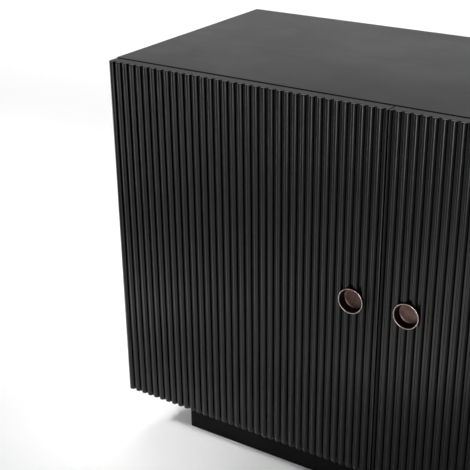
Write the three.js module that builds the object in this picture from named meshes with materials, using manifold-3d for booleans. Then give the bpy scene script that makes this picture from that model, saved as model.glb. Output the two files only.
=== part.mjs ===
// A sideboard buffet: a long low case of mitred boards on a recessed plinth, closed by four
// full-overlay doors. Every door is a flat board with a reeded facing and a round cup pull, and
// hangs on two concealed cup hinges. Millimetres, +Z up, doors facing -Y. The origin is on the
// floor, under the middle of the whole object.
import * as THREE from "three";
import { mergeVertices } from "three/addons/utils/BufferGeometryUtils.js";
import Module from "manifold-3d";

const wasm = await Module();
wasm.setup();

// ---- driving dimensions ----
const WIDTH = 2000; // over the side boards
const CASE_DEPTH = 422; // front edge to back edge of the case boards
const CASE_HEIGHT = 618; // underside of the bottom board to the top's surface
const PLINTH_HEIGHT = 100;
const BOARD = 18; // thickness of the case boards, shelves and plinth boards
const DOOR_BOARD = 16; // thickness of a door's flat board
const BACK_BOARD = 8; // thickness of the back boards
const BACK_INSET = 2; // back boards sit this far in from the case's back edges
const FIT = 0.3; // gap left between boards that touch

const REVEAL = 1; // door edge to the case's outer faces, half of the gap between two doors
const DOOR_GAP = 2; // door's back face to the case's front edges
const FACING_WEB = 1.2; // solid back of the reeded facing, behind its grooves
const RIB_DEPTH = 4.5;
const RIB_PITCH = 13.7;
const RIB_COUNT = 37; // the last one is cut off at the door's free edge
const GROOVE_WIDTH = 3.7;
const FIRST_GROOVE = 12.3; // centre of the first groove from the door's hinge edge

const PULL_RADIUS = 21; // outside of the rim
const PULL_WALL_RADIUS = 20.5;
const PULL_MOUTH_RADIUS = 19.3;
const PULL_FLOOR_RADIUS = 18;
const PULL_PROUD = 4; // rim stands in front of the ribs
const PULL_DEPTH = 15; // rim to floor
const PULL_FLOOR = 1.5; // thickness of the floor
const PULL_FROM_EDGE = 45.3; // centre to the door's free edge
const PULL_BORE_RADIUS = 21.4;

const HINGE_FROM_END = 100; // hinge centre to the door's top or bottom end
const CUP_CENTRE = 22.5; // cup centre to the door's edge
const CUP_RADIUS = 17.4;
const CUP_WELL_RADIUS = 15.9;
const CUP_DEPTH = 11.5;
const CUP_FLOOR = 0.8;
const CUP_BORE_RADIUS = 17.7;
const CUP_FLANGE = 1; // thickness of the flange on the door's back face
const LEVER_WIDTH = 12;
const SCREW_LINE = 37; // mounting plate's screws behind the case's front edge
const PLATE_THICKNESS = 2.5;
const PLATE_DEPTH = 14;
const PLATE_HEIGHT = 48;
const SPINE_DEPTH = 38;
const SPINE_HEIGHT = 12;
const ARM_WIDTH = 16;

const PLINTH_SIDE_INSET = 80;
const PLINTH_FRONT_INSET = 58;
const PLINTH_BACK_INSET = 40;

const SHELF_HEIGHT = 400; // underside of the shelves above the floor
const SHELF_FRONT_INSET = 25;
const PIN_RADIUS = 2.5;
const PIN_LENGTH = 9; // part of the pin that carries the shelf
const PIN_SUNK = 8;
const PIN_FROM_EDGE = 50; // pin to the shelf's front or back edge
const COLLAR_THICKNESS = 1.2;
const SHELF_PLAY = 2; // room for a pin collar between the shelf's end and the board beside it

// ---- sizes that follow from them ----
const DOOR_THICKNESS = DOOR_BOARD + FIT + FACING_WEB + RIB_DEPTH;
const TOTAL_DEPTH = CASE_DEPTH + DOOR_GAP + DOOR_THICKNESS + PULL_PROUD;
const BACK_Y = TOTAL_DEPTH / 2;
const FRONT_Y = BACK_Y - CASE_DEPTH;
const TOP_Z = PLINTH_HEIGHT + CASE_HEIGHT;
const HALF = WIDTH / 2;
const DOOR_WIDTH = WIDTH / 4 - 2 * REVEAL;
const DOOR_HEIGHT = CASE_HEIGHT - 2 * REVEAL;
const DOOR_MIDDLE_Z = PLINTH_HEIGHT + CASE_HEIGHT / 2;
const DOOR_BACK = -DOOR_GAP;
const FACING_BACK = DOOR_BACK - DOOR_BOARD - FIT;
const DOOR_FRONT = DOOR_BACK - DOOR_THICKNESS;
const HINGE_Z = DOOR_HEIGHT / 2 - HINGE_FROM_END;
const PULL_X = REVEAL + DOOR_WIDTH - PULL_FROM_EDGE;
const RIM_FRONT = DOOR_FRONT - PULL_PROUD;
const MITRE_FIT = FIT * Math.SQRT2;

// ---- materials ----
function finish(colour, roughness, metalness) {
  return new THREE.MeshStandardMaterial({ color: colour, roughness, metalness });
}
const stainedWood = () => finish(0x1c1c1c, 0.5, 0);
const stainedReeding = () => finish(0x161616, 0.45, 0);
const bronze = () => finish(0x5c4540, 0.4, 0.9);
const nickel = () => finish(0xb4b4b2, 0.3, 1);

// ---- solids ----
function toSolid(geometry) {
  const bare = geometry.index ? geometry.toNonIndexed() : geometry.clone();
  bare.deleteAttribute("normal");
  bare.deleteAttribute("uv");
  const merged = mergeVertices(bare, 1e-4);
  const vertProperties = merged.attributes.position.array;
  const triVerts = new Uint32Array(merged.index.array);
  return new wasm.Manifold(new wasm.Mesh({ numProp: 3, vertProperties, triVerts }));
}

function toGeometry(solid) {
  const mesh = solid.getMesh();
  const geometry = new THREE.BufferGeometry();
  geometry.setAttribute("position", new THREE.BufferAttribute(mesh.vertProperties, 3));
  geometry.setIndex(new THREE.BufferAttribute(mesh.triVerts, 1));
  const flat = geometry.toNonIndexed();
  flat.computeVertexNormals();
  return flat;
}

function cut(geometry, tools) {
  return toGeometry(tools.reduce((solid, tool) => solid.subtract(toSolid(tool)), toSolid(geometry)));
}

function join(geometries) {
  return toGeometry(geometries.map(toSolid).reduce((a, b) => a.add(b)));
}

// A square board between two corners.
function board([x0, y0, z0], [x1, y1, z1]) {
  const geometry = new THREE.BoxGeometry(x1 - x0, y1 - y0, z1 - z0);
  return geometry.translate((x0 + x1) / 2, (y0 + y1) / 2, (z0 + z1) / 2);
}

function extrude(points, depth) {
  const shape = new THREE.Shape(points.map(([a, b]) => new THREE.Vector2(a, b)));
  return new THREE.ExtrudeGeometry(shape, { depth, bevelEnabled: false });
}

// An outline in X and Z, carried from y0 to y1.
function alongY(points, y0, y1) {
  return extrude(points, y1 - y0).rotateX(Math.PI / 2).translate(0, y1, 0);
}

// An outline in X and Y, carried from z0 to z1.
function alongZ(points, z0, z1) {
  return extrude(points, z1 - z0).translate(0, 0, z0);
}

// A turned shape on an axis along Y, from (radius, y) points.
function turnedOnY(points, x, z, segments) {
  const profile = points.map(([radius, y]) => new THREE.Vector2(radius, y));
  return new THREE.LatheGeometry(profile, segments).translate(x, 0, z);
}

// A plain round bar along Y.
function barY(radius, y0, y1, x, z, segments) {
  return turnedOnY([[0, y0], [radius, y0], [radius, y1], [0, y1]], x, z, segments);
}

// ---- the case: four mitred boards ----
function topPanel() {
  const inner = HALF - BOARD;
  const outline = [[-HALF, TOP_Z], [-inner, TOP_Z - BOARD], [inner, TOP_Z - BOARD], [HALF, TOP_Z]];
  return alongY(outline, FRONT_Y, BACK_Y);
}

function bottomPanel() {
  const low = PLINTH_HEIGHT;
  const inner = HALF - BOARD;
  const outline = [[-HALF, low], [HALF, low], [inner, low + BOARD], [-inner, low + BOARD]];
  return alongY(outline, FRONT_Y, BACK_Y);
}

// The right-hand side board, its inner face drilled for the two shelf pins.
function sidePanel() {
  const inner = HALF - BOARD;
  const low = PLINTH_HEIGHT + MITRE_FIT;
  const high = TOP_Z - MITRE_FIT;
  const outline = [[HALF, low], [HALF, high], [inner, high - BOARD], [inner, low + BOARD]];
  const holes = pinPlaces().map(([y, z]) => pinHole(inner, y, z));
  return cut(alongY(outline, FRONT_Y, BACK_Y), holes);
}

// The right-hand board of the double partition, drilled like a side board.
function partitionBoard() {
  const low = PLINTH_HEIGHT + BOARD + FIT;
  const high = TOP_Z - BOARD - FIT;
  const slab = board([FIT / 2, FRONT_Y, low], [BOARD, BACK_Y, high]);
  const holes = pinPlaces().map(([y, z]) => pinHole(BOARD, y, z));
  return cut(slab, holes);
}

function backPanel() {
  const y1 = BACK_Y - BACK_INSET;
  const low = PLINTH_HEIGHT + BOARD + FIT;
  const high = TOP_Z - BOARD - FIT;
  return board([BOARD + FIT, y1 - BACK_BOARD, low], [HALF - BOARD - FIT, y1, high]);
}

// ---- shelves and their pins ----
const SHELF_FRONT = FRONT_Y + SHELF_FRONT_INSET;
const SHELF_BACK = BACK_Y - BACK_INSET - BACK_BOARD - 2 * FIT;

function shelf() {
  const low = [BOARD + SHELF_PLAY, SHELF_FRONT, SHELF_HEIGHT];
  return board(low, [HALF - BOARD - SHELF_PLAY, SHELF_BACK, SHELF_HEIGHT + BOARD]);
}

function pinPlaces() {
  const z = SHELF_HEIGHT - FIT - PIN_RADIUS;
  return [[SHELF_FRONT + PIN_FROM_EDGE, z], [SHELF_BACK - PIN_FROM_EDGE, z]];
}

// The hole runs both ways from the board's face, so one tool drills either face.
function pinHole(faceX, y, z) {
  const reach = PIN_SUNK + 1;
  const hole = new THREE.CylinderGeometry(PIN_RADIUS + FIT, PIN_RADIUS + FIT, 2 * reach, 12);
  return hole.rotateZ(Math.PI / 2).translate(faceX, y, z);
}

// A steel pin with a collar against the board. It points along +X from a face at X = 0.
function shelfPin() {
  const collar = PIN_RADIUS + 1;
  const collarEnd = FIT + COLLAR_THICKNESS;
  const profile = [[0, -PIN_SUNK], [PIN_RADIUS, -PIN_SUNK], [PIN_RADIUS, FIT]];
  profile.push([collar, FIT], [collar, collarEnd], [PIN_RADIUS, collarEnd]);
  profile.push([PIN_RADIUS, PIN_LENGTH - 1], [PIN_RADIUS - 1, PIN_LENGTH], [0, PIN_LENGTH]);
  return turnedOnY(profile, 0, 0, 12).rotateZ(-Math.PI / 2);
}

// ---- the plinth ----
const PLINTH_X = HALF - PLINTH_SIDE_INSET;
const PLINTH_FRONT = FRONT_Y + PLINTH_FRONT_INSET;
const PLINTH_BACK = BACK_Y - PLINTH_BACK_INSET;
const PLINTH_TOP = PLINTH_HEIGHT - FIT;

function plinthLong(y0) {
  return board([-PLINTH_X, y0, 0], [PLINTH_X, y0 + BOARD, PLINTH_TOP]);
}

function plinthShort(x0) {
  const y0 = PLINTH_FRONT + BOARD + FIT;
  return board([x0, y0, 0], [x0 + BOARD, PLINTH_BACK - BOARD - FIT, PLINTH_TOP]);
}

// ---- a door, in its own frame ----
// X runs from the outer face of the board that the door hangs on, across the door. Y = 0 is the
// case's front edge and Z = 0 the door's mid height. Every piece is its own mirror image about
// Z = 0, so a door turned half round about Y is the door of the other hand.
function doorBoard() {
  const low = [REVEAL, DOOR_BACK - DOOR_BOARD, -DOOR_HEIGHT / 2];
  const slab = board(low, [REVEAL + DOOR_WIDTH, DOOR_BACK, DOOR_HEIGHT / 2]);
  const pullEnd = RIM_FRONT + PULL_DEPTH + PULL_FLOOR + FIT;
  const bores = [barY(PULL_BORE_RADIUS, FACING_BACK - 1, pullEnd, PULL_X, 0, 32)];
  for (const z of [-HINGE_Z, HINGE_Z]) {
    const depth = CUP_DEPTH + FIT;
    bores.push(barY(CUP_BORE_RADIUS, DOOR_BACK - depth, DOOR_BACK + 1, REVEAL + CUP_CENTRE, z, 20));
  }
  return cut(slab, bores);
}

// One rib is two rounded shoulders and a gentle crown between a pair of grooves.
function ribProfile(x0, x1) {
  const width = x1 - x0;
  const heights = [[0, 0.45], [0.12, 0.84], [0.32, 1], [0.68, 1], [0.88, 0.84], [1, 0.45]];
  return heights.map(([along, part]) => [x0 + along * width, FACING_BACK - FACING_WEB - part * RIB_DEPTH]);
}

// The reeding keeps its pitch from one door to the next, so the gap between a pair of doors falls
// in the middle of a rib. Each door's last rib is drawn whole and then cut off at the door's edge.
function reededFacing() {
  const left = REVEAL;
  const right = REVEAL + DOOR_WIDTH;
  const floorY = FACING_BACK - FACING_WEB;
  const outline = [[left, FACING_BACK]];
  for (let rib = 0; rib < RIB_COUNT; rib++) {
    const grooveBefore = left + FIRST_GROOVE + (rib - 1) * RIB_PITCH;
    const x0 = rib === 0 ? left : grooveBefore + GROOVE_WIDTH / 2;
    const x1 = grooveBefore + RIB_PITCH - GROOVE_WIDTH / 2;
    if (rib > 0) outline.push([x0, floorY]);
    outline.push(...ribProfile(x0, x1));
    outline.push([x1, floorY]);
  }
  const end = outline.at(-1)[0];
  outline.push([end, FACING_BACK]);
  const facing = alongZ(outline, -DOOR_HEIGHT / 2, DOOR_HEIGHT / 2);
  const bore = barY(PULL_BORE_RADIUS, DOOR_FRONT - 1, FACING_BACK + 1, PULL_X, 0, 32);
  const beyondLow = [right, DOOR_FRONT - 1, -DOOR_HEIGHT / 2 - 1];
  const beyond = board(beyondLow, [end + 1, FACING_BACK + 1, DOOR_HEIGHT / 2 + 1]);
  return cut(facing, [bore, beyond]);
}

// A thin-walled round cup with a flat floor and a small bead round its mouth.
function cupPull() {
  const floorY = RIM_FRONT + PULL_DEPTH;
  const profile = [
    [0, floorY],
    [PULL_FLOOR_RADIUS - 1, floorY],
    [PULL_FLOOR_RADIUS, floorY - 1],
    [PULL_MOUTH_RADIUS, RIM_FRONT + 0.5],
    [PULL_MOUTH_RADIUS + 0.6, RIM_FRONT],
    [PULL_RADIUS - 0.5, RIM_FRONT],
    [PULL_RADIUS, RIM_FRONT + 0.6],
    [PULL_RADIUS, RIM_FRONT + 1.4],
    [PULL_WALL_RADIUS, RIM_FRONT + 2],
    [PULL_WALL_RADIUS, floorY + PULL_FLOOR],
    [0, floorY + PULL_FLOOR],
  ];
  return turnedOnY(profile, PULL_X, 0, 32);
}

// ---- a concealed cup hinge, about Z = 0 ----
const CUP_X = REVEAL + CUP_CENTRE;
const PLATE_FACE = BOARD + FIT; // mounting plate's underside, on the case board's inner face

// The cup let into the door, with a flange that carries two screws beyond its ends.
function hingeCup() {
  const flangeBack = DOOR_BACK + FIT;
  const flangeTop = flangeBack + CUP_FLANGE;
  const floorY = DOOR_BACK - CUP_DEPTH;
  const shell = turnedOnY(
    [[0, floorY], [CUP_RADIUS, floorY], [CUP_RADIUS, flangeBack], [CUP_RADIUS + 1, flangeBack],
      [CUP_RADIUS + 1, flangeTop], [0, flangeTop]],
    CUP_X, 0, 20);
  const wings = [[-2, -28], [8, -28], [13, -24], [13, 24], [8, 28], [-2, 28]];
  const flange = alongY(wings.map(([x, z]) => [CUP_X + x, z]), flangeBack, flangeTop);
  const well = barY(CUP_WELL_RADIUS, floorY + CUP_FLOOR, flangeTop + 1, CUP_X, 0, 20);
  return cut(join([shell, flange]), [well]);
}

// The two levers lie folded in the cup, drawn as the one bent bar that they make together.
function hingeLevers() {
  const outline = [[-12, -10.5], [2, -10.5], [12, -5.5], [12, -0.8], [6, -0.8], [-1, -6.5], [-12, -6.5]];
  const points = outline.map(([x, y]) => [CUP_X + x, y]);
  return alongZ(points, -LEVER_WIDTH / 2, LEVER_WIDTH / 2);
}

// The arm over its mounting plate, which is screwed to the case board at two places.
function hingeArm() {
  const base = PLATE_FACE;
  const plate = board(
    [base, SCREW_LINE - PLATE_DEPTH / 2, -PLATE_HEIGHT / 2],
    [base + PLATE_THICKNESS, SCREW_LINE + PLATE_DEPTH / 2, PLATE_HEIGHT / 2]);
  const spine = board(
    [base, SCREW_LINE - SPINE_DEPTH / 2, -SPINE_HEIGHT / 2],
    [base + 8, SCREW_LINE + SPINE_DEPTH / 2, SPINE_HEIGHT / 2]);
  const outline = [[7, 4], [12, 0], [15.5, 0], [15.5, 10], [12, SCREW_LINE + 22], [7, SCREW_LINE + 22]];
  const points = outline.map(([x, y]) => [base + x, y]);
  return join([plate, spine, alongZ(points, -ARM_WIDTH / 2, ARM_WIDTH / 2)]);
}

// ---- the assembly ----
const sideboard = new THREE.Group();

function place(parent, name, geometry, material, position = [0, 0, 0]) {
  const mesh = new THREE.Mesh(geometry, material);
  mesh.name = name;
  mesh.position.set(...position);
  parent.add(mesh);
}

// The left-hand copy of a case piece: the right-hand one mirrored in X.
function mirrored(geometry) {
  const copy = geometry.clone().scale(-1, 1, 1);
  const flat = copy.index ? copy.toNonIndexed() : copy;
  const position = flat.getAttribute("position");
  for (let i = 0; i < position.count; i += 3) {
    const held = new THREE.Vector3().fromBufferAttribute(position, i);
    const other = new THREE.Vector3().fromBufferAttribute(position, i + 1);
    position.setXYZ(i, other.x, other.y, other.z);
    position.setXYZ(i + 1, held.x, held.y, held.z);
  }
  flat.computeVertexNormals();
  return flat;
}

place(sideboard, "top_panel", topPanel(), stainedWood());
place(sideboard, "bottom_panel", bottomPanel(), stainedWood());

for (const [hand, shaped] of [["left", mirrored], ["right", (geometry) => geometry]]) {
  place(sideboard, `${hand}_side_panel`, shaped(sidePanel()), stainedWood());
  place(sideboard, `${hand}_partition_board`, shaped(partitionBoard()), stainedWood());
  place(sideboard, `${hand}_back_panel`, shaped(backPanel()), stainedWood());
  place(sideboard, `${hand}_shelf`, shaped(shelf()), stainedWood());
  const faces = [shelfPin().translate(BOARD, 0, 0), mirrored(shelfPin()).translate(HALF - BOARD, 0, 0)];
  let number = 1;
  for (const pin of faces) {
    for (const [y, z] of pinPlaces()) {
      const geometry = pin.clone().translate(0, y, z);
      place(sideboard, `${hand}_shelf_pin_${number}`, shaped(geometry), nickel());
      number += 1;
    }
  }
}

place(sideboard, "plinth_front_board", plinthLong(PLINTH_FRONT), stainedWood());
place(sideboard, "plinth_back_board", plinthLong(PLINTH_BACK - BOARD), stainedWood());
place(sideboard, "plinth_left_board", plinthShort(-PLINTH_X), stainedWood());
place(sideboard, "plinth_right_board", plinthShort(PLINTH_X - BOARD), stainedWood());
place(sideboard, "plinth_centre_rail", plinthShort(-BOARD / 2), stainedWood());

// Each door hangs on the board whose outer face is at hangX, and reaches towards +X or -X.
const doors = [
  { name: "left_outer", hangX: -HALF, towardsRight: true },
  { name: "left_inner", hangX: 0, towardsRight: false },
  { name: "right_inner", hangX: 0, towardsRight: true },
  { name: "right_outer", hangX: HALF, towardsRight: false },
];

for (const { name, hangX, towardsRight } of doors) {
  const door = new THREE.Group();
  door.position.set(hangX, FRONT_Y, DOOR_MIDDLE_Z);
  door.rotation.y = towardsRight ? 0 : Math.PI;
  place(door, `${name}_door_board`, doorBoard(), stainedWood());
  place(door, `${name}_door_reeding`, reededFacing(), stainedReeding());
  place(door, `${name}_cup_pull`, cupPull(), bronze());
  for (const end of [1, -1]) {
    // Turned half round about Y, the door's high end is its local low end.
    const high = towardsRight ? end > 0 : end < 0;
    const hinge = `${name}_${high ? "upper" : "lower"}_hinge`;
    const at = [0, 0, end * HINGE_Z];
    place(door, `${hinge}_cup`, hingeCup(), nickel(), at);
    place(door, `${hinge}_levers`, hingeLevers(), nickel(), at);
    place(door, `${hinge}_arm`, hingeArm(), nickel(), at);
  }
  sideboard.add(door);
}

export default sideboard;
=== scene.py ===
# %% [markdown]
# # A black reeded sideboard
# This notebook gives a packed sideboard its looks. The frame holds every board, door and hinge at
# its real size and place, so the work here is surface: softened edges, turned metal, stained wood.
# A piece could be modelled anywhere and then fitted. Reading its place from the frame is surer,
# because the doors have to swing without touching anything.

import math

import bpy
import numpy as np
from mathutils import Matrix, Vector


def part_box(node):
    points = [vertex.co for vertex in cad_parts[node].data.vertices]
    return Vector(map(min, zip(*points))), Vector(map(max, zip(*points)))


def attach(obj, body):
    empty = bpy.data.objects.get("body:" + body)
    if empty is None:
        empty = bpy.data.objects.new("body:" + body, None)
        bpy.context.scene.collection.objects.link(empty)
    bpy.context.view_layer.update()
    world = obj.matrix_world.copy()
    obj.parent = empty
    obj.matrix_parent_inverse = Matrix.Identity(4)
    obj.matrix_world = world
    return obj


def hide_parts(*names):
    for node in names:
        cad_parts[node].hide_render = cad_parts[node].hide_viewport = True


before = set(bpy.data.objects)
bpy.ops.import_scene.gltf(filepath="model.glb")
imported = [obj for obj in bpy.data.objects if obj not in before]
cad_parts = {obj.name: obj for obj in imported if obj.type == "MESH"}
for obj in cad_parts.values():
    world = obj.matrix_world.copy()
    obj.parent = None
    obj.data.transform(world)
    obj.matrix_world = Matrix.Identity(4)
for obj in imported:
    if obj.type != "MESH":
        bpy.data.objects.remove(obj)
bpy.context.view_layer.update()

MM = 0.001

# %% [markdown]
# ## Camera
# The sideboard is seen from its right, from about standing height, so that the reeding runs away
# to the left. A long lens keeps the verticals nearly parallel. The small lens shift leaves them
# as they are, where turning the camera instead would make them lean.

# %% Camera
CAMERA_PLACE = Vector((0.1138, -1.5149, 1.1622))
CAMERA_AZIMUTH = math.radians(32.98)
CAMERA_DIP = math.radians(25.54)
CAMERA_TILT = math.radians(-0.43)
CAMERA_LENS = 81.97
CAMERA_SHIFT = (-0.0362, 0.0615)


def camera_turn():
    """The camera looks along a direction turned left by the azimuth and down by the dip, then
    rolls by the tilt: its X axis is the level right-hand direction turned about the view."""
    ahead = Vector((
        -math.sin(CAMERA_AZIMUTH) * math.cos(CAMERA_DIP),
        math.cos(CAMERA_AZIMUTH) * math.cos(CAMERA_DIP),
        -math.sin(CAMERA_DIP),
    ))
    level = Vector((math.cos(CAMERA_AZIMUTH), math.sin(CAMERA_AZIMUTH), 0))
    up = level.cross(ahead)
    right = level * math.cos(CAMERA_TILT) + up * math.sin(CAMERA_TILT)
    above = up * math.cos(CAMERA_TILT) - level * math.sin(CAMERA_TILT)
    return Matrix((right, above, -ahead)).transposed()


camera = bpy.data.objects.new("camera", bpy.data.cameras.new("camera"))
camera.data.lens = CAMERA_LENS
camera.data.shift_x, camera.data.shift_y = CAMERA_SHIFT
camera.data.clip_end = 50
camera.matrix_world = Matrix.Translation(CAMERA_PLACE) @ camera_turn().to_4x4()
bpy.context.scene.collection.objects.link(camera)
bpy.context.scene.camera = camera
print("camera at", tuple(camera.location))

# %% [markdown]
# ## Soft boxes
# A black satin object shows little of its own colour. What the eye reads is the reflection of the
# studio, so the lamps are placed for the bands that they draw along each rib. An image of a
# studio could light it too, but a few rectangular lamps and a white world are easier to steer.

# %% Soft boxes
STRIP_DISTANCE = 1.7
STRIP_CONE = 110


def soft_box(name, place, aim, size, power, cone=180):
    """A rectangular lamp at a place, turned to face an aim, that shines into a cone in degrees."""
    lamp = bpy.data.lights.new(name, "AREA")
    lamp.shape = "RECTANGLE"
    lamp.size, lamp.size_y = size
    lamp.energy = power
    lamp.spread = math.radians(cone)
    box = bpy.data.objects.new(name, lamp)
    box.visible_camera = False
    direction = Vector(aim) - Vector(place)
    box.matrix_world = Matrix.Translation(place) @ direction.to_track_quat("-Z", "Y").to_matrix().to_4x4()
    bpy.context.scene.collection.objects.link(box)
    return box


def low_strip(name, azimuth, power):
    """A strip light that stands low at an azimuth from the doors, to draw one band on each rib."""
    turn = math.radians(azimuth)
    aim = Vector((-0.4, -0.22, 0.4))
    away = Vector((math.sin(turn), -math.cos(turn), 0)) * STRIP_DISTANCE
    return soft_box(name, aim + away + Vector((0, 0, 0.05)), aim, (0.35, 0.8), power, STRIP_CONE)


low_strip("front_strip", 0, 4.5)
low_strip("left_strip", -90, 3.5)
print("lamps:", [lamp.name for lamp in bpy.data.lights])

# %% [markdown]
# ## Panels
# Two lamps lie on the floor and face up. They put no light on the floor, but the ribs mirror them
# as two bright lines. The panels overhead do the opposite: they whiten the floor and the back of
# the studio, and their narrow cones keep clear of the ribs. More power in one wide lamp would
# whiten the floor as well, and turn the black doors grey.

# %% Panels
PANELS = {
    "front_reflection": ((-0.65, -1.35, 0.02), (-0.65, -1.35, 1), (0.24, 1.5), 1.4, 180),
    "left_reflection": ((-1.75, -0.55, 0.02), (-1.75, -0.55, 1), (1.1, 0.3), 1.6, 180),
    "back_panel": ((-3.0, 2.9, 3.5), (-3.0, 2.9, 0), (7.0, 4.4), 87, 70),
    "corner_panel": ((-3.2, 1.2, 3.5), (-3.2, 1.2, 0), (2.5, 2.5), 5, 60),
    "side_panel": ((-2.1, 0.3, 2.4), (-2.1, 0.3, 0), (1.6, 0.9), 4.4, 40),
    "near_panel": ((-0.9, 0.0, 2.4), (-0.9, -0.12, 0), (1.6, 0.6), 0.5, 30),
    "floor_spot": ((-1.6, -1.8, 2.2), (-0.9, -0.2, 0), (0.5, 0.5), 0.6, 12),
}
for panel, (place, aim, size, power, cone) in PANELS.items():
    soft_box(panel, place, aim, size, power, cone)
print("panels:", list(PANELS))

# %% [markdown]
# ## World
# The world is white behind the sideboard and dark in front of it, as a paper sweep is in a dark
# room. The blend follows the direction of each ray, from front to back. One even grey would be
# simpler, but the doors would mirror it and lose their black.

# %% World
WORLD_BACK = 0.7
WORLD_WHITE_FROM = 0.4

world = bpy.data.worlds.new("studio")
world.use_nodes = True
bpy.context.scene.world = world
sky = world.node_tree
sky_direction = sky.nodes.new("ShaderNodeTexCoord").outputs["Generated"]
sky_split = sky.nodes.new("ShaderNodeSeparateXYZ")
sky.links.new(sky_direction, sky_split.inputs[0])
sky_blend = sky.nodes.new("ShaderNodeMapRange")
sky_blend.interpolation_type = "SMOOTHSTEP"
sky_blend.inputs["From Min"].default_value = 0.0
sky_blend.inputs["From Max"].default_value = WORLD_WHITE_FROM
sky_blend.inputs["To Min"].default_value = 0.0
sky_blend.inputs["To Max"].default_value = WORLD_BACK
sky.links.new(sky_split.outputs["Y"], sky_blend.inputs["Value"])
sky.links.new(sky_blend.outputs[0], sky.nodes["Background"].inputs["Strength"])
sky.nodes["Background"].inputs["Color"].default_value = (1, 1, 1, 1)
bpy.context.scene.view_settings.view_transform = "Standard"
print("world white to the back:", WORLD_BACK)

# %% [markdown]
# ## Building nodes
# Every finish below is a small tree of nodes. These helpers keep such trees short: one adds a
# node and fills or links its inputs by name, and the others wrap arithmetic, a change of range
# and a mix of colours. Writing out every node and link would do the same at five times the length.

# %% Node helpers
def put(tree, kind, options=None, **inputs):
    """Adds a shader node. Options set its properties, and inputs are values or sockets to link."""
    node = tree.nodes.new("ShaderNode" + kind)
    for key, value in (options or {}).items():
        setattr(node, key, value)
    for key, value in inputs.items():
        socket = node.inputs[int(key[1:])] if key[0] == "i" and key[1:].isdigit() else None
        socket = socket or node.inputs[key.replace("_", " ")]
        if isinstance(value, bpy.types.NodeSocket):
            tree.links.new(value, socket)
        else:
            socket.default_value = value
    return node


def sums(tree, operation, a, b=0.0, clamp=False):
    """One arithmetic step on two values or sockets."""
    return put(tree, "Math", {"operation": operation, "use_clamp": clamp}, i0=a, i1=b).outputs[0]


def spread(tree, value, low, high, to_low, to_high):
    """Maps a value from one range onto another, held at the ends."""
    limits = {"From_Min": low, "From_Max": high, "To_Min": to_low, "To_Max": to_high}
    return put(tree, "MapRange", None, Value=value, **limits).outputs[0]


def blend(tree, amount, first, second):
    """Mixes two colours."""
    node = put(tree, "Mix", {"data_type": "RGBA"}, Factor=amount)
    for index, value in ((6, first), (7, second)):
        if isinstance(value, bpy.types.NodeSocket):
            tree.links.new(value, node.inputs[index])
        else:
            node.inputs[index].default_value = value
    return node.outputs[2]


print("node helpers ready")

# %% [markdown]
# ## Node groups
# An effect that more than one finish needs is built once as a group, with named inputs for what
# differs. Copying its nodes into each finish would let the copies drift apart.

# %% Group helpers
def open_group(name, inputs, outputs):
    """A new node group, with its input sockets as a dict and its output node."""
    tree = bpy.data.node_groups.new(name, "ShaderNodeTree")
    for label, kind, value in inputs:
        socket = tree.interface.new_socket(name=label, in_out="INPUT", socket_type="NodeSocket" + kind)
        if value is not None:
            socket.default_value = value
    for label, kind in outputs:
        tree.interface.new_socket(name=label, in_out="OUTPUT", socket_type="NodeSocket" + kind)
    return tree, tree.nodes.new("NodeGroupInput").outputs, tree.nodes.new("NodeGroupOutput")


def close_group(tree, out, **results):
    """Links the finished values to the group's outputs."""
    for label, socket in results.items():
        tree.links.new(socket, out.inputs[label.replace("_", " ")])


def use_group(tree, group, **inputs):
    """Places a node group in a material and returns its outputs."""
    node = tree.nodes.new("ShaderNodeGroup")
    node.node_tree = group
    for key, value in inputs.items():
        socket = node.inputs[key.replace("_", " ")]
        if isinstance(value, bpy.types.NodeSocket):
            tree.links.new(value, socket)
        else:
            socket.default_value = value
    return node.outputs


print("group helpers ready")

# %% [markdown]
# ## Wood grain
# Black stain hides most of the wood but not its figure: long faint streaks, short open pores, and
# a slow cloudiness from one part of a board to the next. Streaks are noise stretched along the
# board. Pores are a second, finer noise of which only the highest crests are kept. Working in
# metres on Object coordinates keeps the scale the same on every piece.

# %% The grain group
def build_grain():
    """Streaks, pores and clouds as masks from 0 to 1, and a height that sinks at the pores."""
    tree, given, out = open_group(
        "stained_grain",
        [("Vector", "Vector", None), ("Stretch", "Vector", (1, 1, 1)), ("Pore Share", "Float", 0.36)],
        [("Streaks", "Float"), ("Pores", "Float"), ("Clouds", "Float"), ("Height", "Float")],
    )
    along = put(tree, "VectorMath", {"operation": "MULTIPLY"}, i0=given["Vector"], i1=given["Stretch"])
    along = along.outputs[0]
    streaks = put(tree, "TexNoise", None, Vector=along, Scale=1.0, Detail=5.0, Roughness=0.62)
    streaks = spread(tree, streaks.outputs["Fac"], 0.3, 0.7, 0.0, 1.0)
    fine = put(tree, "TexNoise", None, Vector=along, Scale=4.3, Detail=2.0, Roughness=0.5)
    threshold = sums(tree, "SUBTRACT", 1.0, given["Pore Share"])
    above = sums(tree, "SUBTRACT", fine.outputs["Fac"], threshold)
    pores = sums(tree, "MULTIPLY", above, 14.0, clamp=True)
    clouds = put(tree, "TexNoise", None, Vector=given["Vector"], Scale=3.1, Detail=2.0)
    clouds = spread(tree, clouds.outputs["Fac"], 0.35, 0.65, 0.0, 1.0)
    low = sums(tree, "MULTIPLY", streaks, 0.45)
    height = sums(tree, "SUBTRACT", low, sums(tree, "MULTIPLY", pores, 0.55))
    close_group(tree, out, Streaks=streaks, Pores=pores, Clouds=clouds, Height=height)
    return tree


GRAIN = build_grain()
print("grain group with", len(GRAIN.nodes), "nodes")

# %% [markdown]
# ## Handling marks
# Even new satin lacquer is not evenly dull. Wiping leaves wide smears, and a little dust settles
# in specks. One group gives both, for wood and metal alike, and each finish takes as much as it
# needs.

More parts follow.
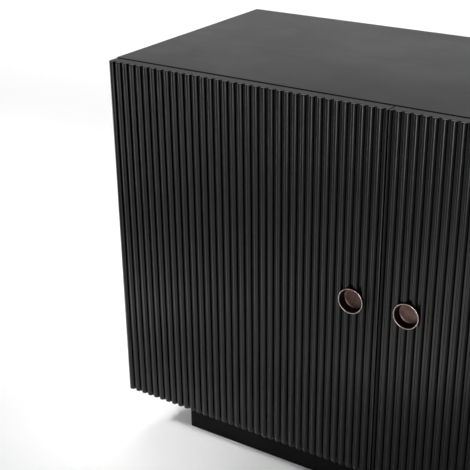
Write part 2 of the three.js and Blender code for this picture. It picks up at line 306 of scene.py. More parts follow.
# %% The handling group
def build_handling():
    """Smears: wide soft noise. Specks: cell centres of a fine pattern, kept where they are small."""
    tree, given, out = open_group(
        "handling_marks",
        [("Vector", "Vector", None), ("Smear Scale", "Float", 9.0), ("Speck Scale", "Float", 160.0)],
        [("Smears", "Float"), ("Specks", "Float")],
    )
    smear = put(tree, "TexNoise", None, Vector=given["Vector"], Scale=given["Smear Scale"], Detail=3.0)
    smears = spread(tree, smear.outputs["Fac"], 0.32, 0.7, 0.0, 1.0)
    cells = put(tree, "TexVoronoi", None, Vector=given["Vector"], Scale=given["Speck Scale"])
    near = spread(tree, cells.outputs["Distance"], 0.05, 0.11, 1.0, 0.0)
    chance = put(tree, "SeparateColor", None, Color=cells.outputs["Color"]).outputs[0]
    specks = sums(tree, "MULTIPLY", near, sums(tree, "GREATER_THAN", chance, 0.72))
    close_group(tree, out, Smears=smears, Specks=specks)
    return tree


HANDLING = build_handling()
print("handling group with", len(HANDLING.nodes), "nodes")

# %% [markdown]
# ## Stained wood
# All the wood shares one recipe. The stain is almost black, the streaks lift it by a shade, and a
# thin satin lacquer gives it its sheen. What changes between the pieces is the way the grain
# runs, how dark the stain is and how dull the lacquer. Reeded wood adds one thing: each rib is
# its own strip, so its tone differs a little from its neighbour's.

# %% Wood finish
GRAIN_ALONG = 3.5
GRAIN_ACROSS = 260.0
RUNS = {"x": (0, 1, 1), "y": (1, 0, 1), "z": (1, 1, 0)}


def start_material(name):
    """A material with an empty Principled shader, its tree and its Object coordinates."""
    material = bpy.data.materials.new(name)
    material.use_nodes = True
    tree = material.node_tree
    where = put(tree, "TexCoord").outputs["Object"]
    return material, tree, tree.nodes["Principled BSDF"], where


def stained_wood(name, run, dark, light, dull, shine=0.5, strip=None):
    """Wood whose grain runs along one axis, stained between two greys under a lacquer that is
    more or less dull and shiny. A strip is (first edge, pitch) of ribs along X."""
    material, tree, shader, where = start_material(name)
    stretch = tuple(GRAIN_ACROSS if across else GRAIN_ALONG for across in RUNS[run])
    grain = use_group(tree, GRAIN, Vector=where, Stretch=stretch, Pore_Share=0.38)
    marks = use_group(tree, HANDLING, Vector=where)
    tone = sums(tree, "MULTIPLY", grain["Streaks"], 0.75)
    tone = sums(tree, "ADD", tone, sums(tree, "MULTIPLY", grain["Clouds"], 0.25))
    if strip:
        x = put(tree, "SeparateXYZ", None, Vector=where).outputs["X"]
        count = sums(tree, "DIVIDE", sums(tree, "SUBTRACT", x, strip[0]), strip[1])
        own = put(tree, "TexWhiteNoise", {"noise_dimensions": "1D"}, W=sums(tree, "FLOOR", count))
        tone = sums(tree, "ADD", tone, sums(tree, "MULTIPLY", own.outputs["Value"], 0.5))
    tone = sums(tree, "SUBTRACT", tone, sums(tree, "MULTIPLY", grain["Pores"], 0.5), clamp=True)
    stain = blend(tree, tone, (dark, dark, dark, 1), (light, light, light, 1))
    dusty = blend(tree, sums(tree, "MULTIPLY", marks["Specks"], 0.015), stain, (0.3, 0.3, 0.3, 1))
    tree.links.new(dusty, shader.inputs["Base Color"])
    rough = sums(tree, "ADD", dull, sums(tree, "MULTIPLY", marks["Smears"], 0.06))
    rough = sums(tree, "ADD", rough, sums(tree, "MULTIPLY", grain["Pores"], 0.12))
    tree.links.new(rough, shader.inputs["Roughness"])
    bump = put(tree, "Bump", None, Strength=0.3, Distance=0.00008, Height=grain["Height"])
    tree.links.new(bump.outputs["Normal"], shader.inputs["Normal"])
    shader.inputs["Specular IOR Level"].default_value = shine
    return material


print("grain repeats per metre:", GRAIN_ALONG, "along,", GRAIN_ACROSS, "across")


# %% [markdown]
# ## Metals
# The pulls are dark bronze: brown where the patina is thick, a little brighter where it thins.
# The hinges and pins are nickel plated steel. Both are one recipe with other numbers: a metal
# with patches from a soft noise, a fine brushed roughness and a slight bump. A finish may also name
# a rim, in front of which the metal is painted bright: a painted highlight along the front of a
# pull's bead, which also stands for bronze that fingers have rubbed bright.

# %% Metal finish
def worn_metal(name, deep, bright, dull, brush, rim=None):
    """Metal that wanders between two tones, brushed along Z. A rim is (front y, depth, colour) of a painted
    highlight in front of that y, which also stands for rubbed metal.
    """
    material, tree, shader, where = start_material(name)
    patches = use_group(tree, HANDLING, Vector=where, Smear_Scale=55.0, Speck_Scale=900.0)
    grain = use_group(tree, GRAIN, Vector=where, Stretch=brush, Pore_Share=0.3)
    tone = sums(tree, "MULTIPLY", patches["Smears"], 0.7)
    tone = sums(tree, "ADD", tone, sums(tree, "MULTIPLY", grain["Streaks"], 0.3), clamp=True)
    colour = blend(tree, tone, (*deep, 1), (*bright, 1))
    # Painted highlight: towards the front of the bead the colour turns to the bright rim colour, which also
    # stands for metal rubbed bright.
    if rim:
        y = put(tree, "SeparateXYZ", None, Vector=where).outputs["Y"]
        behind = sums(tree, "DIVIDE", sums(tree, "SUBTRACT", y, rim[0]), rim[1])
        highlight_and_rub = sums(tree, "SUBTRACT", 1.0, behind, clamp=True)
        colour = blend(tree, highlight_and_rub, colour, (*rim[2], 1))
    tree.links.new(colour, shader.inputs["Base Color"])
    rough = sums(tree, "ADD", dull, sums(tree, "MULTIPLY", grain["Streaks"], 0.12))
    rough = sums(tree, "ADD", rough, sums(tree, "MULTIPLY", patches["Specks"], 0.15))
    tree.links.new(rough, shader.inputs["Roughness"])
    bump = put(tree, "Bump", None, Strength=0.2, Distance=0.0001, Height=grain["Height"])
    tree.links.new(bump.outputs["Normal"], shader.inputs["Normal"])
    shader.inputs["Metallic"].default_value = 1.0
    return material


print("metal recipe ready")


# %% [markdown]
# ## Sizes
# The driving sizes are measured from the frame: boxes of nodes give the edges of the case, of a
# door and of a pull. Only the reeding's count, pitch and groove are written out, since a box says
# nothing of what repeats inside it. Door sizes are in the door's own frame, which starts at its
# hinged side of the case and at the case's front.

# %% Sizes taken from the frame
RIB_COUNT = 37
RIB_PITCH = 13.7 * MM
GROOVE_WIDTH = 3.7 * MM
RIB_DEPTH = 4.5 * MM

case_low, case_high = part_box("top_panel")
case_front = case_low.y
half_width = case_high.x
top_z = case_high.z
BOARD = case_high.z - case_low.z
door_low, door_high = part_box("left_outer_door_board")
facing_low, facing_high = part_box("left_outer_door_reeding")
pull_low, pull_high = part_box("left_outer_cup_pull")
REVEAL = door_low.x + half_width
DOOR_WIDTH = door_high.x - door_low.x
DOOR_HALF_HEIGHT = (door_high.z - door_low.z) / 2
DOOR_MIDDLE_Z = (door_high.z + door_low.z) / 2
DOOR_BACK = door_high.y - case_front
DOOR_BOARD_FRONT = door_low.y - case_front
FACING_BACK = facing_high.y - case_front
DOOR_FRONT = facing_low.y - case_front
FIRST_GROOVE = REVEAL + 12.3 * MM
PULL_X = (pull_low.x + pull_high.x) / 2 + half_width
PULL_RADIUS = (pull_high.x - pull_low.x) / 2
RIM_FRONT = pull_low.y - case_front
PULL_BACK = pull_high.y - case_front
print("door", DOOR_WIDTH, "wide, reeding", DOOR_FRONT, "to", FACING_BACK, "pull", PULL_X, PULL_RADIUS)

# %% [markdown]
# ## Finishes of this sideboard
# One black goes over everything, so the pieces differ only by a shade and by how they shine. The
# plinth is nearly matt, and the reeding is the darkest and the glossiest. One black for all would
# be shorter, but then the flat boards would mirror as sharply as the ribs.

# %% Finishes
top_wood = stained_wood("top_wood", "x", 0.005, 0.010, 0.42)
case_wood = stained_wood("case_wood", "z", 0.004, 0.009, 0.44)
flat_wood = stained_wood("shelf_wood", "x", 0.005, 0.010, 0.46)
back_wood = stained_wood("back_wood", "z", 0.005, 0.010, 0.58)
plinth_wood = stained_wood("plinth_wood", "x", 0.002, 0.005, 0.6, 0.08)
door_wood = stained_wood("door_wood", "z", 0.004, 0.009, 0.44)
rib_strips = (FIRST_GROOVE - half_width, RIB_PITCH)
reeded_wood = stained_wood("reeded_wood", "z", 0.0005, 0.002, 0.19, 0.4, rib_strips)
# The pulls' rim colour is a painted highlight on the front 1.6 mm of the bead, which also stands for bronze
# rubbed bright by hands.
rim_highlight_and_rub = (pull_low.y, 1.6 * MM, (0.58, 0.46, 0.44))
bronze = worn_metal("bronze", (0.06, 0.034, 0.029), (0.165, 0.108, 0.096), 0.28, (900, 900, 90), rim_highlight_and_rub)
nickel = worn_metal("nickel", (0.50, 0.50, 0.48), (0.66, 0.65, 0.62), 0.24, (700, 700, 60))
print("finishes made:", len(bpy.data.materials))

# %% [markdown]
# ## From arrays to pieces
# Each shape below is worked out as arrays of points. This cell turns such arrays into a mesh. It
# joins points that fall together, drops faces that have closed up, and turns the shell the right
# way round by its signed volume: the sum over its faces of the small pyramids that they make with
# the origin is positive only when they face outwards.

# %% Mesh helpers
WELD = 1e-6


def tidy(points, quads):
    """Welds doubled points. Returns the points and the faces as quads and triangles."""
    keys = np.round(points / WELD).astype(np.int64)
    _, first, index = np.unique(keys, axis=0, return_index=True, return_inverse=True)
    quads = index.reshape(-1)[quads]
    same = quads == np.roll(quads, -1, axis=1)
    crossed = (quads[:, 0] == quads[:, 2]) | (quads[:, 1] == quads[:, 3])
    whole = quads[(same.sum(1) == 0) & ~crossed]
    closed = (same.sum(1) == 1) & ~crossed
    triangles = quads[closed][~same[closed]].reshape(-1, 3)
    return points[first], whole, triangles


def signed_volume(points, quads, triangles):
    """A sixth of the sum of a . (b x c) over triangles, with each quad as two of them."""
    corners = [triangles, quads[:, [0, 1, 2]], quads[:, [0, 2, 3]]]
    a, b, c = np.moveaxis(points[np.concatenate(corners)], 1, 0)
    return np.einsum("ij,ij->", a, np.cross(b, c)) / 6


print("points closer than", WELD, "m are joined")

# %% [markdown]
# ## Pieces
# A piece is one or more closed shells with one finish. It rides on a body of the frame, so that
# it swings with its door, and the CAD nodes that it stands in for are hidden. One object for each
# shell would work too, but screws that never part from their flange need no names of their own.

# %% Making a piece
def make_piece(name, shells, material, body, stands_for=(), sharp=30):
    """One piece from (points, quads) shells, facing out, riding on a body of the frame."""
    all_points, faces, start = [], [], 0
    for points, quads in shells:
        points, quads, triangles = tidy(points, quads)
        if signed_volume(points - points.mean(0), quads, triangles) < 0:
            quads, triangles = quads[:, ::-1], triangles[:, ::-1]
        all_points.append(points)
        faces += (quads + start).tolist() + (triangles + start).tolist()
        start += len(points)
    mesh = bpy.data.meshes.new(name)
    mesh.from_pydata(np.concatenate(all_points), [], faces)
    mesh.shade_smooth()
    mesh.set_sharp_from_angle(angle=math.radians(sharp))
    mesh.materials.append(material)
    piece = bpy.data.objects.new(name, mesh)
    bpy.context.scene.collection.objects.link(piece)
    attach(piece, body)
    if stands_for:
        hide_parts(*stands_for)
    return piece


def grid_quads(rows, columns, wrap=False):
    """Faces of a grid of points, row after row. A wrapped grid also joins its last column."""
    row, column = np.meshgrid(np.arange(rows - 1), np.arange(columns - (not wrap)), indexing="ij")
    after = (column + 1) % columns
    corners = (row * columns + column, row * columns + after,
               (row + 1) * columns + after, (row + 1) * columns + column)
    return np.stack(corners, -1).reshape(-1, 4)


print("a grid of 3 by 4 points has", len(grid_quads(3, 4)), "faces")

# %% [markdown]
# ## Boards with softened edges
# A sanded board has no sharp arris. It could be a cube with a Bevel modifier. Here it is one
# formula instead: take an eighth of a small ball to each corner of a smaller box, and the flats
# come by themselves as the gaps between them. A mitred board is the same shape with its length
# shrinking in proportion to the depth below its outer face.

# %% Soft boards
EDGE = 0.7 * MM
EDGE_STEPS = 3


def soft_board(low, high, edge=EDGE):
    """Every point is a corner of the inner box plus the edge radius times a direction. Longitude
    visits the four upright edges in turn, and latitude the bottom and then the top corners."""
    low, high = np.array(low, float), np.array(high, float)
    quarter = np.linspace(0, np.pi / 2, EDGE_STEPS + 1)
    longitude = np.concatenate([quarter + k * np.pi / 2 for k in range(4)])
    latitude = np.concatenate([quarter - np.pi / 2, quarter])
    side_x = np.repeat([1, -1, -1, 1], EDGE_STEPS + 1)
    side_y = np.repeat([1, 1, -1, -1], EDGE_STEPS + 1)
    side_z = np.repeat([-1, 1], EDGE_STEPS + 1)
    v, u = np.meshgrid(latitude, longitude, indexing="ij")
    direction = np.stack([np.cos(v) * np.cos(u), np.cos(v) * np.sin(u), np.sin(v)], -1)
    signs = np.stack(np.broadcast_arrays(side_x[None], side_y[None], side_z[:, None]), -1)
    points = (low + high) / 2 + signs * ((high - low) / 2 - edge) + edge * direction
    rows, columns = v.shape
    corner = np.arange(4) * (EDGE_STEPS + 1)
    caps = np.stack([corner[::-1], corner + (rows - 1) * columns])
    return points.reshape(-1, 3), np.concatenate([grid_quads(rows, columns, True), caps])


print("a soft board has", len(soft_board((0, 0, 0), (1, 1, 1))[0]), "points")

# %% [markdown]
# ## The case
# The case is mitred at its four corners, so that no end grain shows. The partition boards, backs
# and shelves stand between, and the plinth is a frame of its own. Each board takes its box from
# the frame, and the mitre shortens its inner side by its own thickness.

# %% Case boards
def board(name, material, edge=EDGE, mitre=None):
    """A CAD board with soft edges. A mitre is (axis that shrinks, outer axis, outer level)."""
    points, quads = soft_board(*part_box(name), edge)
    if mitre:
        along, outer, level = mitre
        middle = (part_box(name)[0][along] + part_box(name)[1][along]) / 2
        half = (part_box(name)[1][along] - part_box(name)[0][along]) / 2
        depth = np.abs(points[:, outer] - level)
        points[:, along] = middle + (points[:, along] - middle) * (half - depth) / half
    return make_piece(name + "_wood", [(points, quads)], material, "case", [name], sharp=20)


board("top_panel", top_wood, mitre=(0, 2, top_z))
board("bottom_panel", flat_wood, mitre=(0, 2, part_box("bottom_panel")[0].z))
for hand, sign in (("left", -1), ("right", 1)):
    board(f"{hand}_side_panel", case_wood, mitre=(2, 0, sign * half_width))
    board(f"{hand}_partition_board", case_wood)
    board(f"{hand}_back_panel", back_wood)
    board(f"{hand}_shelf", flat_wood)
for part in ("front_board", "back_board", "left_board", "right_board", "centre_rail"):
    board(f"plinth_{part}", plinth_wood)
print("boards made")


# %% [markdown]
# ## Slabs with round holes
# A door is a flat board and a reeded facing, and both are pierced: by the pull's bore, and the
# board by two hinge bores. A Boolean could cut them. Instead each slab is a row of upright
# strips, one for each point of its outline, and a strip that crosses a bore simply stops at the
# circle and starts again above it, where x and z obey the circle's equation.

# %% Pierced slabs
END_SOFT = 0.5 * MM


def chord(x, centre, radius):
    """Half the height of a circle above the point x of its diameter, and 0 outside it."""
    return np.sqrt(np.clip(radius**2 - (x - centre) ** 2, 0, None))


def pierced_slab(x, front, back, levels, bores, soft=END_SOFT):
    """Points (x, front) and (x, back) are carried up through the levels, each a row of heights
    z(x). The first and last rows lie back by the soft width, which takes the sharpness off the
    ends. A bore opens the space above one level: right through, or down to a floor at y."""
    levels = np.stack([np.broadcast_to(level, x.shape) for level in levels])
    rows, columns = levels.shape
    inset = np.zeros((rows, 1))
    inset[[0, -1]] = soft
    grids = [np.broadcast_to(front + inset, levels.shape), np.broadcast_to(back - inset, levels.shape)]
    skins = [np.stack([np.broadcast_to(x, levels.shape), y, levels], -1) for y in grids]
    cells = grid_quads(rows, columns).reshape(rows - 1, columns - 1, 4)
    behind = rows * columns
    through = [row for row, floor in bores.items() if floor is None]
    face = np.delete(cells, list(bores), 0).reshape(-1, 4)
    quads = [face, np.delete(cells, through, 0).reshape(-1, 4)[:, ::-1] + behind]
    column = np.arange(columns - 1)
    walls = [(0, behind, column, False), ((rows - 1) * columns, behind, column, True)]
    for row, floor in bores.items():
        wide = levels[row + 1] - levels[row]
        crossed = column[(wide[:-1] > 0) | (wide[1:] > 0)]
        offset = behind
        if floor is not None:
            start = sum(skin.size // 3 for skin in skins)
            rim = skins[0][row:row + 2].copy()
            rim[..., 1] = floor
            skins.append(rim)
            quads.append(cells[0] + start)
            offset = start - row * columns
        walls.append((row * columns, offset, crossed, True))
        walls.append(((row + 1) * columns, offset, crossed, False))
    for start, offset, along, turned_up in walls:
        low = start + along
        wall = np.stack([low, low + offset, low + 1 + offset, low + 1], -1)
        quads.append(wall[:, ::-1] if turned_up else wall)
    row = np.delete(np.arange(rows - 1), through)
    for end in (0, columns - 1):
        low = row * columns + end
        side = np.stack([low, low + columns, low + columns + behind, low + behind], -1)
        quads.append(side if end == 0 else side[:, ::-1])
    return np.concatenate([skin.reshape(-1, 3) for skin in skins]), np.concatenate(quads)


print("half the height of a bore over its middle:", chord(0.0, 0.0, PULL_RADIUS))


# %% [markdown]
# ## The reeding
# Each rib is a strip with a rounded front. A half circle would be too steep at its feet and too
# narrow at its crown, so its section is a superellipse, fuller than a circle. The points are
# spaced by angle, which crowds them on the shoulders, where the light turns. A bump map could
# feign ribs, but they are too deep for that: they hide one another and break the door's edge.

# %% Rib section
RIB_STEPS = 18
RIB_FULLNESS = 2.1


def rib_section(left, right):
    """Across a rib, x goes as the cosine of an angle and the height as its sine, each raised to
    2 / fullness, which swells the circle towards a box."""
    angle = np.linspace(np.pi, 0, RIB_STEPS + 1)
    power = 2 / RIB_FULLNESS
    across = np.sign(np.cos(angle)) * np.abs(np.cos(angle)) ** power
    height = np.abs(np.sin(angle)) ** power
    x = (left + right) / 2 + (right - left) / 2 * across
    return x, DOOR_FRONT + RIB_DEPTH * (1 - height)


def reeding_outline():
    """The front outline of a whole facing, rib after rib, with a flat groove between each two.
    The last rib is drawn whole, and what lies past the door's edge is left off."""
    grooves = FIRST_GROOVE + RIB_PITCH * np.arange(-1, RIB_COUNT)
    lefts, rights = grooves[:-1] + GROOVE_WIDTH / 2, grooves[1:] - GROOVE_WIDTH / 2
    lefts[0] = REVEAL
    sections = [rib_section(left, right) for left, right in zip(lefts, rights)]
    x, front = (np.concatenate(part) for part in zip(*sections))
    end = REVEAL + DOOR_WIDTH
    cut_front = np.interp(end, x, front)
    kept = x < end - END_SOFT
    x = np.concatenate([x[kept], [end - END_SOFT, end]])
    return x, np.concatenate([front[kept], [cut_front, cut_front + END_SOFT]])


def with_samples(x, front, extra):
    """Adds points at given places on an outline, so that a bore's extreme points are on it."""
    extra = np.array(extra)
    order = np.argsort(np.concatenate([x, extra]), kind="stable")
    both = np.concatenate([front, np.interp(extra, x, front)])
    return np.concatenate([x, extra])[order], both[order]


outline_x, outline_front = reeding_outline()
print("reeding outline of", len(outline_x), "points")

# %% [markdown]
# ## The doors
# All four doors are one design. A door of the other hand is the same one turned half round about
# the depth axis, so its pull and hinges change sides. Turning keeps every face pointing out,
# where mirroring would not.

# %% Door frames
DOORS = {
    "left_outer": (-half_width, 1),
    "left_inner": (0.0, -1),
    "right_inner": (0.0, 1),
    "right_outer": (half_width, -1),
}


def in_door(door, shell, height=0.0):
    """Moves a shell from a door's own frame to the row frame, lifted by height first."""
    hang, sign = DOORS[door]
    points, quads = shell
    x, y, z = points.T
    placed = np.stack([hang + sign * x, case_front + y, DOOR_MIDDLE_Z + sign * (z + height)], -1)
    return placed, quads


print("doors:", list(DOORS))

# %% [markdown]
# ## Door boards and facings
# Two layers make a door. The facing in front is bored right through for the pull. The board behind
# it has a blind bore for the pull's floor and two bores for the hinge cups. Cutting both as one
# solid would save a little, but two layers show the fine joint along the door's edge.

# %% Door boards and facings
BORE = PULL_RADIUS + 0.4 * MM
cup_low, cup_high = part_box("left_outer_upper_hinge_cup")
HINGE_Z = (cup_low.z + cup_high.z) / 2 - DOOR_MIDDLE_Z
CUP_X = REVEAL + 22.5 * MM
HINGE_BORE = 17.7 * MM


def facing_shell():
    """The reeded facing, pierced by the pull's bore."""
    across_bore = PULL_X + BORE * np.cos(np.linspace(0, np.pi, 25))
    x, front = with_samples(outline_x, outline_front, across_bore)
    half = chord(x, PULL_X, BORE)
    bottom, top = -DOOR_HALF_HEIGHT, DOOR_HALF_HEIGHT
    levels = [bottom, bottom + END_SOFT, -half, half, top - END_SOFT, top]
    return pierced_slab(x, front, FACING_BACK, levels, {2: None})


def door_board_shell():
    """The flat board behind it, pierced by that bore and by the two hinge bores."""
    left, right = REVEAL, REVEAL + DOOR_WIDTH
    round_steps = np.cos(np.linspace(0, np.pi, 33))
    x = np.concatenate([[left, left + END_SOFT, right - END_SOFT, right],
                        PULL_X + BORE * round_steps, CUP_X + HINGE_BORE * round_steps])
    x = np.unique(x)
    at_edge = (x == left) | (x == right)
    front = np.where(at_edge, DOOR_BOARD_FRONT + END_SOFT, DOOR_BOARD_FRONT)
    back = np.where(at_edge, DOOR_BACK - END_SOFT, DOOR_BACK)
    pull, hinge = chord(x, PULL_X, BORE), chord(x, CUP_X, HINGE_BORE)
    bottom, top = -DOOR_HALF_HEIGHT, DOOR_HALF_HEIGHT
    levels = [bottom, bottom + END_SOFT, -HINGE_Z - hinge, -HINGE_Z + hinge, -pull, pull,
              HINGE_Z - hinge, HINGE_Z + hinge, top - END_SOFT, top]
    return pierced_slab(x, front, back, levels, {2: None, 4: PULL_BACK + 0.3 * MM, 6: None})


for door in DOORS:
    make_piece(f"{door}_reeding", [in_door(door, facing_shell())], reeded_wood,
               f"{door}_door", [f"{door}_door_reeding"])
    make_piece(f"{door}_board", [in_door(door, door_board_shell())], door_wood,
               f"{door}_door", [f"{door}_door_board"])


# %% [markdown]
# ## Turned parts
# Pulls, pins and screws are round, so each is a profile carried round an axis. The profile's
# corners are cut off twice over, which rounds them as a polishing wheel does. A Screw modifier
# would turn a profile as well. Arrays keep every shape in this lesson in one way of making.

# %% Turning
def cut_corners(profile, times):
    """Replaces each inner point by two, a quarter of the way along the lines that meet there."""
    points = np.array(profile, float)
    for _ in range(times):
        near = 0.75 * points[:-1] + 0.25 * points[1:]
        far = 0.25 * points[:-1] + 0.75 * points[1:]
        inner = np.stack([near, far], 1).reshape(-1, 2)
        points = np.concatenate([points[:1], inner[1:-1], points[-1:]])
    return points


def turned(profile, centre, steps, axis="y"):
    """A point (radius, height) of the profile goes round the axis as centre + radius times the
    cosine and sine of the turn. The profile starts and ends on the axis, which closes the shell."""
    radius, height = np.array(profile, float).T
    turn = np.linspace(0, 2 * np.pi, steps, endpoint=False)
    flat_a = radius[:, None] * np.cos(turn)
    flat_b = radius[:, None] * np.sin(turn)
    level = np.broadcast_to(height[:, None], flat_a.shape)
    order = {"y": (flat_a, level, flat_b), "x": (level, flat_a, flat_b)}[axis]
    points = np.stack(order, -1).reshape(-1, 3) + np.array(centre)
    return points, grid_quads(len(radius), steps, True)


print("two cuts turn 5 points into", len(cut_corners(np.zeros((5, 2)), 2)))


# %% [markdown]
# ## Cup pulls
# A pull is a thin bronze cup pushed into its bore, with a bead round the mouth that stands a few
# millimetres clear of the ribs. The floor is not quite flat: it dishes by half a millimetre, so
# that light slides over it. Being round, it is turned from one section.

# %% Pull
PULL_WALL = 20.5 * MM
PULL_MOUTH = 19.3 * MM
PULL_FLOOR_RADIUS = 18.0 * MM
PULL_FLOOR = 1.5 * MM


def pull_shell():
    """The cup's section from the middle of its floor, up the wall, over the bead and back."""
    floor = PULL_BACK - PULL_FLOOR
    inside = [(0, floor), (9 * MM, floor - 0.1 * MM), (PULL_FLOOR_RADIUS - 2 * MM, floor - 0.4 * MM),
              (PULL_FLOOR_RADIUS, floor - 1.2 * MM), (PULL_FLOOR_RADIUS + 0.2 * MM, floor - 4 * MM)]
    bead = [(PULL_MOUTH, RIM_FRONT + 2.2 * MM), (PULL_MOUTH, RIM_FRONT + 0.5 * MM),
            (PULL_MOUTH + 0.35 * MM, RIM_FRONT), (PULL_RADIUS - 0.35 * MM, RIM_FRONT),
            (PULL_RADIUS, RIM_FRONT + 0.5 * MM), (PULL_RADIUS, RIM_FRONT + 1.5 * MM),
            (PULL_WALL, RIM_FRONT + 2.2 * MM)]
    outside = [(PULL_WALL, PULL_BACK - 0.4 * MM), (PULL_WALL - 0.4 * MM, PULL_BACK), (0, PULL_BACK)]
    return turned(cut_corners(inside + bead + outside, 2), (PULL_X, 0, 0), 96)


for door in DOORS:
    make_piece(f"{door}_pull", [in_door(door, pull_shell())], bronze,
               f"{door}_door", [f"{door}_cup_pull"], sharp=40)
print("pulls made")

# %% [markdown]
# ## Screws
# Screws show at the hinges and round the back boards. Each is a low dome with a cross sunk into
# it. The dome is a parabola of its radius. The cross is where a point lies close to one of two
# lines through the middle, so its height drops there, which needs no cutting.

# %% Screw heads
def screw(centre, radius, axis):
    """Height is 1 - r^2 over the head, less a recess where the smaller of |cos| and |sin| of the
    turn, times r, is under a sixth and r is under two thirds. It points along the plus axis."""
    part = np.concatenate([np.linspace(0, 1, 10), [1, 0]])
    turn = np.linspace(0, 2 * np.pi, 32, endpoint=False)
    arm = np.minimum(np.abs(np.cos(turn)), np.abs(np.sin(turn))) * part[:, None]
    sunk = (arm < 0.16) & (part[:, None] < 0.68)
    height = np.where(sunk, 0.12, 0.3 + 0.3 * (1 - part[:, None] ** 2))
    height[-2:] = 0
    flat_a, flat_b = radius * part[:, None] * np.cos(turn), radius * part[:, None] * np.sin(turn)
    order = {"y": (flat_a, radius * height, flat_b), "x": (radius * height, flat_a, flat_b)}[axis]
    return np.stack(order, -1).reshape(-1, 3) + np.array(centre), grid_quads(len(part), len(turn), True)


def back_screws(name):
    """Screws round a back board, evenly spaced along its long edges and its short ones."""
    low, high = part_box(name)
    edge = 12 * MM
    across = np.linspace(low.x + edge, high.x - edge, 7)
    up = np.linspace(low.z + edge, high.z - edge, 4)
    places = [(x, high.y, z) for x in across for z in (up[0], up[-1])]
    places += [(x, high.y, z) for x in (across[0], across[-1]) for z in up[1:-1]]
    return [screw(place, 3.4 * MM, "y") for place in places]


for hand in ("left", "right"):
    make_piece(f"{hand}_back_screws", back_screws(f"{hand}_back_panel"), nickel, "case")
print("back screws made")

# %% [markdown]
# ## Shelf pins
# Each shelf rests on four steel pins with a collar. A pin is turned about a line along X and
# points into its compartment. A plain cylinder would do behind a shut door. The collar and the
# softened end show when the door is open.

# %% Shelf pins
PIN = [(0, 0), (2.1, 0), (2.5, 0.4), (2.5, 8.3), (3.5, 8.3), (3.5, 9.5), (2.5, 9.5), (2.5, 15.6),
       (2.1, 16.5), (1.2, 17), (0, 17)]
for hand, sign in (("left", -1), ("right", 1)):
    for number in (1, 2, 3, 4):
        node = f"{hand}_shelf_pin_{number}"
        low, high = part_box(node)
        middle = (low + high) / 2
        inwards = 1 if sign * half_width / 2 > middle.x else -1
        start = low.x if inwards > 0 else high.x
        profile = [(radius * MM, inwards * along * MM) for radius, along in PIN]
        pin = turned(profile, (start, middle.y, middle.z), 24, "x")
        make_piece(f"{node}_steel", [pin], nickel, "case", [node], sharp=25)
print("shelf pins made")

# %% [markdown]
# ## Concealed hinges
# Each hinge has a cup with a screwed flange in the door, a pair of levers folded into the cup,
# and an arm on a plate inside the case. The flange is a slab pierced by the cup. Arm and levers
# are pressed from sheet, so each is one section carried along a bent path.

# %% Swept sections
def swept(path, outer, inner):
    """A section has two rails of (across, above) points. A point of it sits at the path plus
    above times the path's normal, which is its tangent turned a quarter, and across in Z. Faces
    between the two rails close the ends."""
    path = np.array(path, float) * MM
    tangent = np.gradient(path, axis=0)
    tangent /= np.linalg.norm(tangent, axis=1, keepdims=True)
    normal = np.stack([-tangent[:, 1], tangent[:, 0]], 1)
    across, above = np.concatenate([outer, inner[::-1]]).T * MM
    plan = path[:, None] + above[:, None] * normal[:, None]
    rise = np.broadcast_to(across[:, None], plan.shape[:2] + (1,))
    count = len(across)
    first = np.arange(count // 2 - 1)
    cap = np.stack([first, first + 1, count - 2 - first, count - 1 - first], -1)
    sides = grid_quads(len(path), count, True)
    quads = np.concatenate([sides, cap[:, ::-1], cap + (len(path) - 1) * count])
    return np.concatenate([plan, rise], -1).reshape(-1, 3), quads


def strip_rails(width, thickness, edge):
    """The rails of a flat strip with softened edges: across from end to end, above and below."""
    half, rise = width / 2, thickness / 2
    across = [-half, -half + 0.3 * edge, -half + edge, half - edge, half - 0.3 * edge, half]
    above = [rise - edge, rise - 0.3 * edge, rise, rise, rise - 0.3 * edge, rise - edge]
    top = np.stack([across, above], -1)
    return top, top * [1, -1]


print("rails of", len(strip_rails(10, 1.6, 0.5)[0]), "points each")

# %% [markdown]
# ## Cup and levers
# These two ride with the door. The cup is turned and carries a pierced flange with two screws, and
# the levers lie folded in it. On a real hinge the levers unfold as the door opens. Here they keep
# to the cup, because one fixed axis stands in for the linkage.

# %% Cup and levers
def hinge_cup_shells(height):
    """The cup is turned. Its flange is a slab with rounded ends, pierced by the cup's mouth."""
    back = DOOR_BACK / MM
    profile = [(0, back - 10.7), (14.6, back - 10.7), (15.9, back - 9.4), (15.9, back + 0.9),
               (16.3, back + 1.3), (18.0, back + 1.3), (18.4, back + 0.9), (18.4, back + 0.3),
               (17.4, back + 0.3), (17.4, back - 10.3), (16.2, back - 11.5), (0, back - 11.5)]
    cup = turned(np.array(profile) * MM, (CUP_X, 0, height), 48)
    x = np.unique(np.concatenate([np.linspace(-2, 13, 31), 15.9 * np.cos(np.linspace(0.6, 1.7, 24))]))
    x = x[(x >= -2) & (x <= 13)]
    corner = 5.0
    past = np.clip(np.maximum(x - (13 - corner), -x), 0, corner)
    half = 28 - (corner - np.sqrt(corner**2 - past**2))
    hole = chord(x, 0, 16.1)
    levels = [-half, -half + 0.3, -hole, hole, half - 0.3, half]
    flat = pierced_slab(x * MM, DOOR_BACK + 0.35 * MM, DOOR_BACK + 1.25 * MM,
                        np.array(levels) * MM, {2: None}, 0.2 * MM)
    flange = flat[0] + np.array([CUP_X, 0, height]), flat[1]
    screws = [screw((CUP_X + 5.5 * MM, DOOR_BACK + 1.2 * MM, height + z), 3.2 * MM, "y")
              for z in (-22.5 * MM, 22.5 * MM)]
    return [cup, flange] + screws


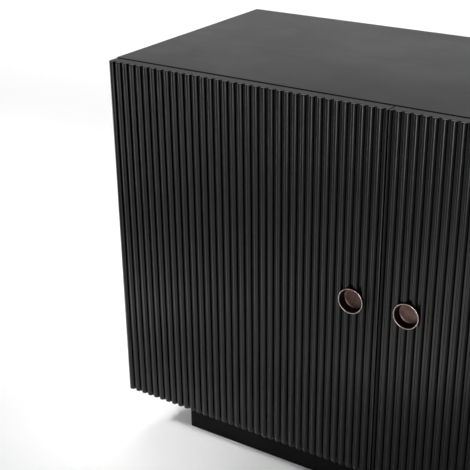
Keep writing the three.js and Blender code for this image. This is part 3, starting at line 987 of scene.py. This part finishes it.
def lever_shells(height):
    """Two strips: the inner one runs along the cup's floor, the outer one climbs to its mouth."""
    cup, back = CUP_X / MM, DOOR_BACK / MM
    inner = cut_corners([(cup - 11, back - 9), (cup - 3, back - 9), (cup + 3, back - 8),
                         (cup + 9, back - 5)], 2)
    outer = cut_corners([(cup - 4, back - 7.6), (cup + 4, back - 5.6), (cup + 9, back - 3.2),
                         (cup + 11, back - 1.6)], 2)
    strips = [swept(inner, *strip_rails(11.4, 1.6, 0.5)), swept(outer, *strip_rails(9.4, 1.4, 0.5))]
    return [(points + np.array([0, 0, height]), quads) for points, quads in strips]


print("a hinge cup has", len(hinge_cup_shells(0)), "shells")

# %% [markdown]
# ## Arm and plate
# These stay on the case. The plate is screwed to the board, and the arm is a pressed channel
# clipped over it. The arm could be one bent box, but its two adjusting screws and its hollow side
# are what an open door shows.

# %% Arm and plate
PLATE_FACE = BOARD + 0.3 * MM


def arm_shells(height):
    """A channel of bent sheet over a short spine, carried from the plate to the cup. Two screws
    on its back set the door's height and depth."""
    base = PLATE_FACE / MM
    path = cut_corners([(base + 11.4, 58.6), (base + 12.6, 40), (base + 15.1, 12),
                        (base + 15.2, 5), (base + 15.2, 0.6)], 2)
    outer = np.array([(-8, -4.6), (-8, -0.9), (-7.7, -0.3), (-7.1, 0), (7.1, 0), (7.7, -0.3),
                      (8, -0.9), (8, -4.6)])
    inner = np.array([(-6.7, -4.6), (-6.7, -1.9), (-6.5, -1.5), (-6.1, -1.3), (6.1, -1.3),
                      (6.5, -1.5), (6.7, -1.9), (6.7, -4.6)])
    channel = swept(path, outer, inner)
    spine = soft_board((PLATE_FACE + 2 * MM, 19 * MM, -5.8 * MM),
                       (PLATE_FACE + 8.6 * MM, 55 * MM, 5.8 * MM), 0.8 * MM)
    screws = [screw((PLATE_FACE + (11.7 + lift) * MM, y * MM, 0), 3.0 * MM, "x")
              for lift, y in ((0.05, 50), (1.45, 28))]
    return [(points + np.array([0, 0, height]), quads) for points, quads in [channel, spine] + screws]


def plate_shells(height):
    """The plate lies on the case board, with a screw above and below the arm."""
    low = (PLATE_FACE, 30 * MM, height - 24 * MM)
    plate = soft_board(low, (PLATE_FACE + 2.5 * MM, 44 * MM, height + 24 * MM), 0.6 * MM)
    screws = [screw((PLATE_FACE + 2.4 * MM, 37 * MM, height + z), 3.4 * MM, "x")
              for z in (-17 * MM, 17 * MM)]
    return [plate] + screws


print("the arm stands off the plate's face at", PLATE_FACE, "m from the case's side")

# %% [markdown]
# ## Hanging the doors
# Every door has an upper and a lower hinge. A door of the other hand is turned half round, so its
# upper hinge is the lower one of the pattern, which is why the sign goes with the height.

# %% Hinges
for door, (hang, sign) in DOORS.items():
    for place in ("upper", "lower"):
        height = sign * HINGE_Z if place == "upper" else -sign * HINGE_Z
        hinge = f"{door}_{place}_hinge"
        for part, shells, body, stands_for in (
            ("cup", hinge_cup_shells(height), f"{door}_door", [f"{hinge}_cup"]),
            ("levers", lever_shells(height), f"{door}_door", [f"{hinge}_levers"]),
            ("arm", arm_shells(height), "case", [f"{hinge}_arm"]),
            ("plate", plate_shells(height), "case", []),
        ):
            placed = [in_door(door, shell) for shell in shells]
            make_piece(f"{hinge}_{part}_steel", placed, nickel, body, stands_for, sharp=35)
print("hinges made")

# %% [markdown]
# ## Floor
# The floor is one large pale square, only there to carry the shadow. A curved sweep would hide
# the horizon from low viewpoints, but this camera looks down and meets none.

# %% Floor
FLOOR_SIZE = 16.0
FLOOR_WHITE = (0.93, 0.93, 0.93, 1)

floor_white = bpy.data.materials.new("floor_white")
floor_white.use_nodes = True
floor_shader = floor_white.node_tree.nodes["Principled BSDF"]
floor_shader.inputs["Base Color"].default_value = FLOOR_WHITE
floor_shader.inputs["Roughness"].default_value = 0.9
floor_shader.inputs["Specular IOR Level"].default_value = 0.1
corner = FLOOR_SIZE / 2
floor_mesh = bpy.data.meshes.new("floor")
floor_mesh.from_pydata([(-corner, -corner, 0), (corner, -corner, 0), (corner, corner, 0),
                        (-corner, corner, 0)], [], [(0, 1, 2, 3)])
floor_mesh.materials.append(floor_white)
floor = bpy.data.objects.new("floor", floor_mesh)
bpy.context.scene.collection.objects.link(floor)
print("floor", FLOOR_SIZE, "m wide")
